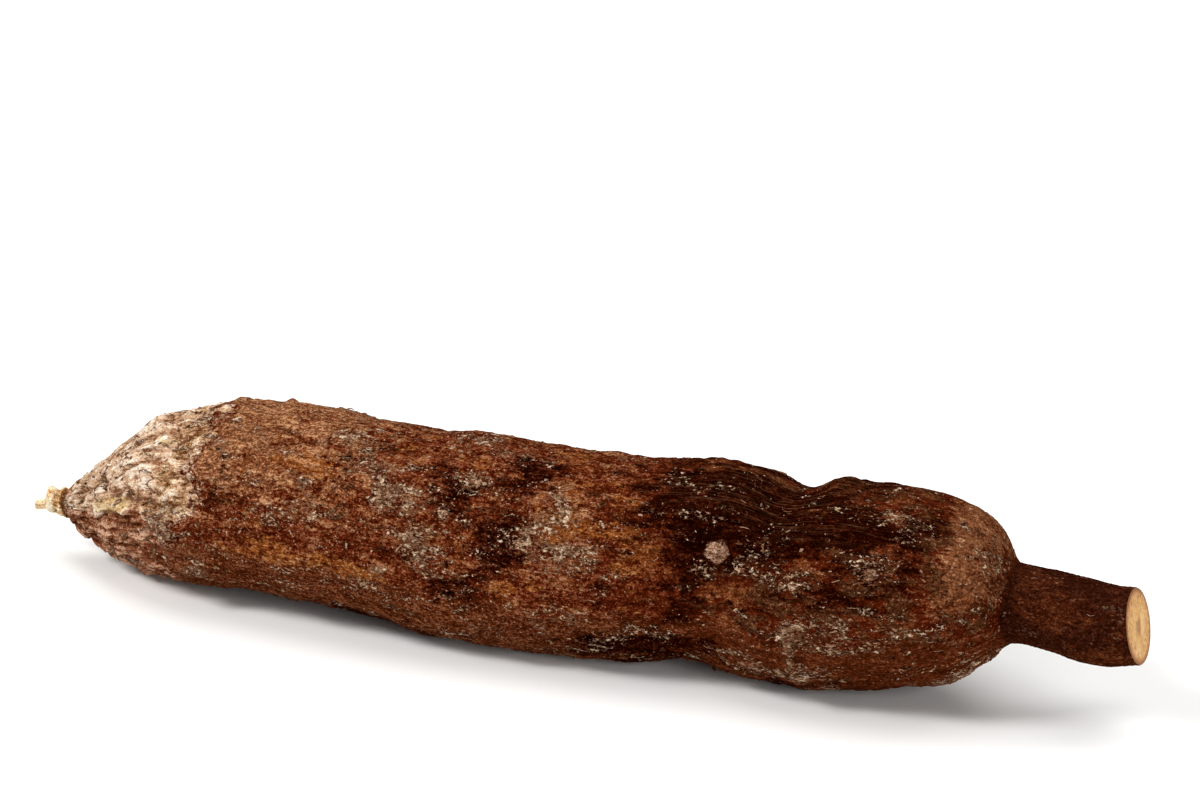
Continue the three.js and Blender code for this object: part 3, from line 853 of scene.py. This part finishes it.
# %% Colours of the bark, kind over kind
cone_colour = laid_over(tree, kinds["cone"], (
    (reach["faded"], kinds["faded"]), (reach["low"], kinds["stained"]), (reach["cream"], kinds["cream"]),
    (reach["tip"], kinds["tip"]), (reach["crack"], linear("#6e4a32"))))
neck_colour = laid_over(tree, kinds["neck"], [(reach["warm"], kinds["warm"])])
worn_colour = laid_over(tree, kinds["orange"], [(stored["stem_half_bark_and_shade"], kinds["rust"])])
colour = laid_over(tree, kinds["red"], (
    (reach["umber"], kinds["umber"]), (reach["rust"], kinds["rust"]), (reach["orange"], worn_colour),
    (reach["low"], kinds["russet"]), (reach["tan"], kinds["tan"]), (dark_line, linear("#2c1005")),
    (reach["dark"], kinds["dark"]), (reach["cone"], cone_colour), (stored["neck"], neck_colour),
    (pale_line, linear("#7a5034")), (crust_shadow_share, kinds["dark"]), (crust_share, kinds["crust"]),
    (reach["ring"], kinds["dark"]), (reach["scar"], kinds["scar"]), (stored["tail"], kinds["knot"])))
tree.links.new(colour, bark_shader.inputs["Base Color"])

# %% Gloss and fine grain of the bark
gloss_range = {"From Min": 0.42, "From Max": 0.62, "To Min": 0.55, "To Max": 0.85}
roughness = add(tree, "MapRange", {"Value": shown, **gloss_range})
tree.links.new(roughness, bark_shader.inputs["Roughness"])
bump = add(tree, "Bump", {"Height": bark_height, "Strength": 1.0, "Distance": 1.0 * MM})
tree.links.new(bump, bark_shader.inputs["Normal"])
bark_shader.inputs["Specular IOR Level"].default_value = 0.0
print(bark.name, len(tree.nodes), "nodes")

# %% [markdown]
# ## Cut wood
#
# The stem end was cut through, so it shows the wood inside the bark: cream, drying to tan in blotches, with
# a thin darker ring under the bark and a small darker pith in the middle. It could be a disc laid on the
# end, but wood and bark grew as one, so it is a second material on the same skin. The share stored on each
# vertex says how far out from the middle a point lies.

# %% Cut stem wood
wood, tree, wood_shader = new_material("freshly cut stem wood")
here = add(tree, "TexCoord", {}, output="Object")
share_here = add(tree, "Attribute", {}, output="Fac", attribute_name="share")
wood_grain = grained(tree, here, 1.2, 1.2, 5.0, 0.6, 2.2)
wood_stain = grained(tree, here, 5.0, 5.0, 4.0, 0.6, 8.2)
ragged_share = add(tree, "Math", {0: wood_stain, 1: 0.5, 2: share_here}, operation="MULTIPLY_ADD")
colour = linear("#a26a30")
for place, low_end, high_end, most, over in (
        (wood_grain, 0.42, 0.56, 0.8, "#d4a25e"),  # pale grain
        (wood_stain, 0.5, 0.62, 0.6, "#ecc68e"),  # cream blotches
        (ragged_share, 1.0, 0.75, 0.45, "#d8ac6a"),  # paler towards the middle
        (ragged_share, 1.04, 1.16, 0.8, "#a8682c"),  # browner towards the bark
        (share_here, 0.86, BARK_SHARE, 0.7, "#6d3d1c"),  # the ring under the bark
        (ragged_share, 0.52, 0.36, 0.7, "#8e5c34")):  # the pith
    inputs = {"Value": place, "From Min": low_end, "From Max": high_end, "To Max": most}
    amount = add(tree, "MapRange", inputs)
    colour = laid_over(tree, colour, [(amount, linear(over))])
tree.links.new(colour, wood_shader.inputs["Base Color"])
wood_shader.inputs["Roughness"].default_value = 0.65
bump = add(tree, "Bump", {"Height": wood_grain, "Strength": 0.5, "Distance": 0.4 * MM})
tree.links.new(bump, wood_shader.inputs["Normal"])
print(wood.name, len(tree.nodes), "nodes")

# %% Both materials onto the skin, and the skin onto the root
skin.data.materials.append(bark)
skin.data.materials.append(wood)
skin.data.polygons.foreach_set("material_index", cut_face.astype(np.int32))
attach(skin, "root")
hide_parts("cassava_root")

# %% [markdown]
# ## Loose scales and crumbs of cork
#
# The driest bits of the outer bark stand clear of the skin and throw small shadows. Painted flecks stay
# flat, and particles don't stay in an exported model, so these are real: thousands of small closed plates
# and slivers. Each kind is one small template, a plate with a ragged rim or a sliver with two pointed ends.
# Whole arrays of random sizes, turns and places copy it over the skin, more of it where the bark is
# crusted. All of a kind is one mesh.

# %% The skin's own directions, and where flakes may sit
def unit(vectors):
    """Each vector at length 1."""
    return vectors / np.maximum(np.linalg.norm(vectors, axis=-1, keepdims=True), 1e-9)


lengthwise = np.gradient(points, axis=0)
crosswise = np.roll(points, -1, axis=1) - np.roll(points, 1, axis=1)
outward = unit(np.cross(crosswise, lengthwise))
inner = points.mean(axis=1, keepdims=True)
outward *= np.sign(((points - inner) * outward).sum(axis=-1).mean())
cell_area = np.linalg.norm(np.cross(crosswise / 2, lengthwise), axis=-1)
clear = smoothstep(points[..., 2], 1.0, 3.0) * (share == 1) * (along > CONE_START + 3) * (along < CUT - 1.5)
cluster = smoothstep(layered_noise(bent, (13, 6, 6), 51), -0.25, 0.55)
rowed = smoothstep(layered_noise(drawn, (26, 3, 3), 52), -0.3, 0.5)


def scatter(count, density, spread):
    """Random skin points, more of them where the density is high. Each has its place, its outward
    direction, and its length and width directions: lengthwise, turned by a random angle in radians."""
    weight = (density * clear * cell_area).ravel()
    picked = rng.choice(weight.size, size=count, p=weight / weight.sum())
    jitter = rng.uniform(-0.5, 0.5, (count, 2, 1))
    place, normal, along_step, round_step = (
        values.reshape(-1, 3)[picked] for values in (points, outward, lengthwise, crosswise))
    place = place + jitter[:, 0] * along_step + jitter[:, 1] * round_step / 2
    forward = unit(along_step)
    sideways = np.cross(normal, forward)
    turn = rng.normal(0, spread, (count, 1))
    long_way = np.cos(turn) * forward + np.sin(turn) * sideways
    wide_way = np.cos(turn) * sideways - np.sin(turn) * forward
    return place, normal, long_way, wide_way


# %% Many copies of a template as one mesh
GOLDEN_TURN = 2.4  # radians, which spreads points evenly over a disc


def copies_mesh(name, corners, faces, tone):
    """One mesh of many copies of a template. corners holds each copy's points, and faces the template's
    triangles. Every copy has its own square of the OFBake map, and its tone from 0 to 1."""
    count, size = corners.shape[:2]
    mesh = bpy.data.meshes.new(name)
    mesh.vertices.add(count * size)
    mesh.vertices.foreach_set("co", (corners * MM).astype(np.float32).ravel())
    loops = (faces[None] + (np.arange(count) * size)[:, None, None]).reshape(-1)
    mesh.loops.add(len(loops))
    mesh.loops.foreach_set("vertex_index", loops.astype(np.int32))
    mesh.polygons.add(len(loops) // 3)
    mesh.polygons.foreach_set("loop_start", np.arange(0, len(loops), 3, dtype=np.int32))
    mesh.update(calc_edges=True)
    grid = int(np.ceil(np.sqrt(count)))
    turn = GOLDEN_TURN * np.arange(size)
    from_middle = (np.arange(1, size + 1) / size)[:, None] ** 0.5
    spot = 0.5 + 0.4 * np.stack([np.cos(turn), np.sin(turn)], axis=-1) * from_middle
    square = np.stack([np.arange(count) % grid, np.arange(count) // grid], axis=-1)
    flat = ((square[:, None] + spot[None]) / grid).reshape(-1, 2)
    uv = mesh.uv_layers.new(name="OFBake")
    uv.data.foreach_set("uv", flat[loops].astype(np.float32).ravel())
    piece = bpy.data.objects.new(name, mesh)
    bpy.context.scene.collection.objects.link(piece)
    attribute(piece, "tone", np.repeat(tone, size))
    print(name, count, "copies,", len(loops) // 3, "triangles")
    return piece


def facing_out(corners, faces):
    """The template's faces, turned over if the copies' volume comes out negative, so that they face out."""
    a, b, c = (corners[:, faces[:, k]] for k in range(3))
    return faces[:, ::-1] if (a * np.cross(b, c)).sum() < 0 else faces


# %% The two templates: a sliver and a plate
def slivers(name, count, density, length, width, thick, spread, rings, bend):
    """Slivers with two pointed ends and a few four-sided rings between them. length, width and thick are
    ranges in mm, and bend is how far the middle stands aside, as a share of the length."""
    place, normal, long_way, wide_way = scatter(count, density, spread)
    whole_length, whole_width, lift = (rng.uniform(*r, (count, 1)) for r in (length, width, thick))
    curve = rng.normal(0, bend, (count, 1)) * whole_length
    ends = [place + step * whole_length * long_way - 0.1 * normal for step in (-0.5, 0.5)]
    corners = [ends[0]]
    for step in np.linspace(-0.5, 0.5, rings + 2)[1:-1]:
        wobble = rng.normal(0, 0.2, (count, 1)) * whole_width
        middle = place + step * whole_length * long_way + (curve * (1 - 4 * step * step) + wobble) * wide_way
        span = whole_width / 2 * (1 - 1.6 * step * step) * rng.uniform(0.6, 1.2, (count, 1))
        top = lift * rng.uniform(0.5, 1.2, (count, 1))
        corners += [middle - span * wide_way, middle + top * normal]
        corners += [middle + span * wide_way, middle - 0.15 * normal]
    corners = np.stack(corners + [ends[1]], axis=1)
    ring = 1 + np.arange(4)
    after = 1 + (np.arange(4) + 1) % 4
    last = 4 * (rings - 1)
    faces = [np.stack([np.zeros(4, int), ring, after], axis=-1)]
    for base in range(0, last, 4):
        faces.append(np.stack([base + ring, base + 4 + ring, base + 4 + after], axis=-1))
        faces.append(np.stack([base + ring, base + 4 + after, base + after], axis=-1))
    faces.append(np.stack([last + ring, np.full(4, last + 5), last + after], axis=-1))
    faces = facing_out(corners, np.concatenate(faces))
    return copies_mesh(name, corners, faces, rng.beta(1.3, 1.9, count))


def plates(name, count, density, length, width, thick, spread):
    """Thin ragged plates, curled up at one side. The rim is a ring of points at random reaches."""
    place, normal, long_way, wide_way = (v[:, None] for v in scatter(count, density, spread))
    half_length, half_width, lift = (rng.uniform(*r, (count, 1, 1)) for r in (length, width, thick))
    sides = 8
    around = (2 * np.pi * np.arange(sides) / sides)[None, :, None]
    rim_share = rng.uniform(0.55, 1.15, (count, sides, 1)) / 2
    lengthways = np.cos(around) * rim_share * half_length
    sideways = np.sin(around) * rim_share * half_width
    curl = rng.uniform(-0.5, 1.0, (count, 1, 1)) * (np.sin(around + 0.7) + 1) * lift
    rim = place + lengthways * long_way + sideways * wide_way
    top = rim + (0.55 * lift + curl) * normal + 0.08 * rng.normal(size=(count, sides, 1)) * normal
    under = rim * 0.8 + 0.2 * place + (curl * 0.7 - 0.15) * normal
    high = place + lift * 0.9 * normal
    deep = place - 0.25 * normal
    corners = np.concatenate([top, under, high, deep], axis=1)
    ring = np.arange(sides)
    after = (ring + 1) % sides
    faces = np.concatenate([
        np.stack([ring, after, np.full(sides, 2 * sides)], axis=-1),
        np.stack([sides + after, sides + ring, np.full(sides, 2 * sides + 1)], axis=-1),
        np.stack([ring, sides + ring, after], axis=-1),
        np.stack([after, sides + ring, sides + after], axis=-1)])
    return copies_mesh(name, corners, facing_out(corners, faces), rng.beta(1.3, 1.9, count))


# %% Crumbs, curls and scales: sizes are ranges in mm of length, width and thickness
bare = (1 - 0.9 * np.clip(orange, 0, 1)) * (1 - 0.85 * neck) * (1 - 0.6 * np.clip(dark, 0, 1))
crumb_density = bare * (0.04 + (cluster * rowed) ** 2 + 3.0 * crust ** 2) * (1 - 0.35 * cone)
scale_density = bare * (0.02 + 0.3 * (cluster * rowed) ** 2 + 2.5 * crust ** 2) * (1 - 0.5 * cone)
crumbs_piece = slivers(
    "cork_crumbs", 4200, crumb_density, (0.4, 1.1), (0.15, 0.4), (0.05, 0.2), spread=0.6, rings=2, bend=0.1)
curls_piece = slivers(
    "cork_curls", 2000, crumb_density, (1.2, 3.6), (0.15, 0.35), (0.05, 0.25), spread=0.35, rings=5, bend=0.14)
scales_piece = plates("cork_scales", 600, scale_density, (1.0, 2.4), (0.5, 1.2), (0.06, 0.2), spread=0.6)

# %% Dry cork, for the scales and crumbs
dry_cork, tree, cork_shader = new_material("dry outer cork")
here = add(tree, "TexCoord", {}, output="Object")
cork_grain = grained(tree, here, 0.9, 0.6, 3.0, 0.6, 1.1)
own_tone = add(tree, "Attribute", {}, output="Fac", attribute_name="tone")
tone = summed(tree, own_tone, ((cork_grain, 0.5), (-0.25, 1.0)))
colour = add(tree, "ValToRGB", {"Fac": tone}, stops=[
    (0.0, "#3d1c0c"), (0.3, "#5f3620"), (0.6, "#7d553d"), (0.85, "#a3826a"), (1.0, "#d2bca6")])
tree.links.new(colour, cork_shader.inputs["Base Color"])
cork_shader.inputs["Roughness"].default_value = 0.85
cork_shader.inputs["Specular IOR Level"].default_value = 0.04
for piece in (crumbs_piece, curls_piece, scales_piece):
    piece.data.materials.append(dry_cork)
    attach(piece, "root")

# %% [markdown]
# ## Stage, light and camera
#
# The floor is a plain pale sheet. A soft light from the upper left front brings out the relief, a broad one
# overhead lifts the shadows, a weak one fills in from the right, and the surround is pale. The camera stands
# in front, a little to the right and above, and looks a little downwards.

# %% Floor and light
def area_light(name, place, aim, size, watts):
    """A square soft light at a place, turned to face a point."""
    data = bpy.data.lights.new(name, "AREA")
    data.size = size
    data.energy = watts
    lamp = bpy.data.objects.new(name, data)
    lamp.location = place
    lamp.rotation_euler = (Vector(aim) - Vector(place)).to_track_quat("-Z", "Y").to_euler()
    bpy.context.scene.collection.objects.link(lamp)


FLOOR_HALF = 3.0
floor_corners = [(FLOOR_HALF * x, FLOOR_HALF * y, 0) for x, y in ((-1, -1), (1, -1), (1, 1), (-1, 1))]
floor_mesh = bpy.data.meshes.new("floor")
floor_mesh.from_pydata(floor_corners, [], [(0, 1, 2, 3)])
floor = bpy.data.objects.new("floor", floor_mesh)
bpy.context.scene.collection.objects.link(floor)
paper, tree, paper_shader = new_material("white paper")
paper_shader.inputs["Base Color"].default_value = linear("#f4f3f1")
paper_shader.inputs["Roughness"].default_value = 0.9
floor_mesh.materials.append(paper)
floor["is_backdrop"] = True

area_light("key", (-0.85, -0.7, 1.0), (-0.03, 0, 0.03), 0.4, 17)
area_light("ceiling", (0.2, 0.6, 2.0), (0.1, 0.4, 0), 2.4, 45)
area_light("fill", (1.1, -0.8, 0.5), (0, 0, 0.03), 0.6, 8)
world = bpy.data.worlds.new("surround")
bpy.context.scene.world = world
world.use_nodes = True
world.node_tree.nodes["Background"].inputs["Color"].default_value = (1, 1, 1, 1)
world.node_tree.nodes["Background"].inputs["Strength"].default_value = 0.2

# %% Camera
AIM = Vector((0.0152, -0.0002, 0.0765))
TURN, TILT, DISTANCE = np.radians(20), np.radians(20), 0.95
LENS, SENSOR = 100, 36  # millimetres
back = Vector((np.sin(TURN) * np.cos(TILT), -np.cos(TURN) * np.cos(TILT), np.sin(TILT)))
camera_data = bpy.data.cameras.new("camera")
camera_data.lens = LENS
camera_data.sensor_width = SENSOR
camera = bpy.data.objects.new("camera", camera_data)
camera.location = AIM + DISTANCE * back
camera.rotation_euler = (-back).to_track_quat("-Z", "Y").to_euler()
bpy.context.scene.collection.objects.link(camera)
bpy.context.scene.camera = camera
bpy.context.scene.view_settings.view_transform = "Standard"

# %% Sizes and finish
low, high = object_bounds()
print("visual box in mm:", [round(v / MM, 1) for v in low], [round(v / MM, 1) for v in high])
